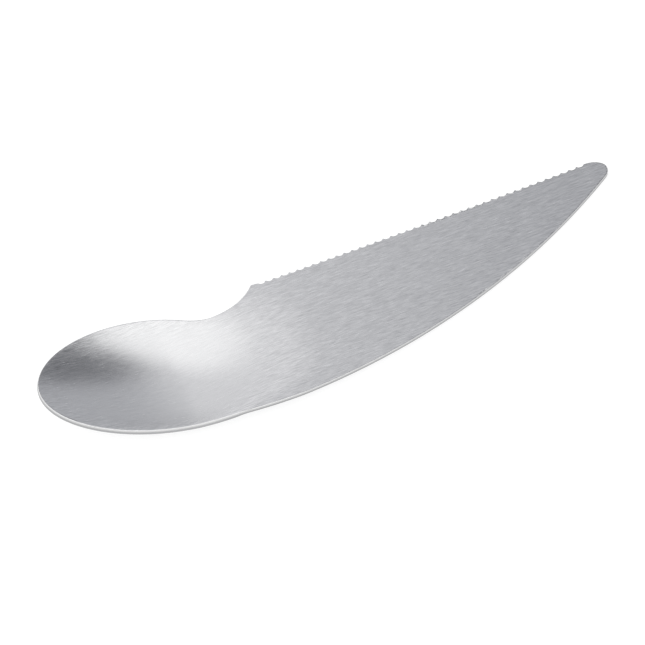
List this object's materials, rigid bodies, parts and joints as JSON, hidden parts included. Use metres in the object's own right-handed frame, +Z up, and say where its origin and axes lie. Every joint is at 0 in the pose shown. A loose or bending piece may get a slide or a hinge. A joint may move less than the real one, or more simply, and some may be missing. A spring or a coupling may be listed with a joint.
{
  "type": "serrated fruit spoon",
  "caption": "One-piece sheet-steel fruit spoon: an oval bowl pressed into one end and a flat, tapering blade with a scalloped cutting edge at the other.",
  "frame": {"origin": "on the table under the middle of the overall box, with the spoon lying as it rests: on the bowl's underside and the blade's back edge", "axes": "+X along the toothed edge towards the blade's tip, +Y towards the toothed side, +Z up, out of the bowl's hollow"},
  "size_m": [0.1652, 0.0412, 0.0094],
  "materials": {
    "steel": "stainless sheet brushed along its length, with smoothed cut edges"
  },
  "bodies": {
    "root": {"spoon_body": "steel"}
  },
  "joints": []
}
